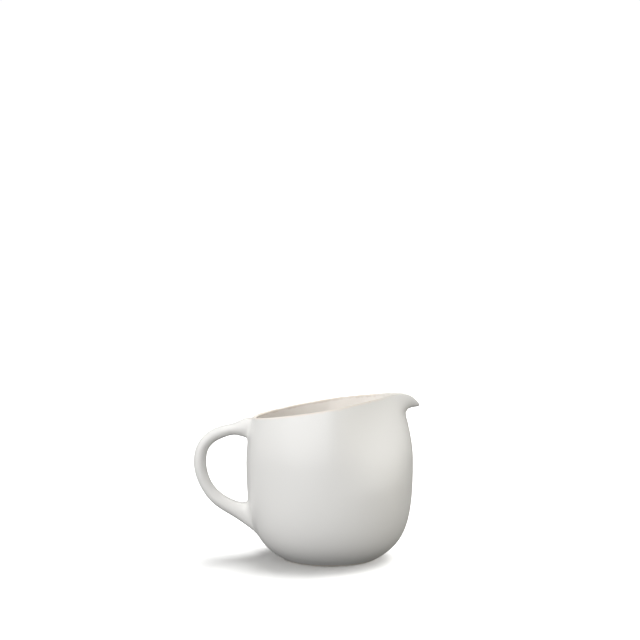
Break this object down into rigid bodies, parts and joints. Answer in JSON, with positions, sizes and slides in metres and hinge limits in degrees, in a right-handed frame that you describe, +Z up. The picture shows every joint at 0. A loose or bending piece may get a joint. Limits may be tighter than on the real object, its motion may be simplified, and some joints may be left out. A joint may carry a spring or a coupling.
{
  "type": "ceramic pitcher",
  "caption": "Round-bellied glazed stoneware pitcher with a tilted rim, a drooping beak spout and a loop handle.",
  "frame": {"origin": "middle of the flat foot, on the plane that the pitcher stands on and on the axis of its round body", "axes": "+Z up along the body's axis; +X towards the tip of the spout, so the handle is along -X; +Y completes a right-handed frame"},
  "size_m": [0.1353, 0.0998, 0.0971],
  "materials": {
    "body_clay": "bare fired buff stoneware, matte",
    "spout_clay": "bare fired buff stoneware, matte",
    "handle_clay": "bare fired buff stoneware, matte",
    "slip": "fired slip, matte",
    "outer_glaze": "white satin-gloss glaze",
    "inner_glaze": "warm white satin-gloss glaze"
  },
  "bodies": {
    "root": {"vessel_body": "body_clay", "pouring_spout": "spout_clay", "spout_joint": "slip", "handle": "handle_clay", "upper_handle_joint": "slip", "lower_handle_joint": "slip", "outer_glaze": "outer_glaze", "inner_glaze": "inner_glaze"}
  },
  "joints": []
}
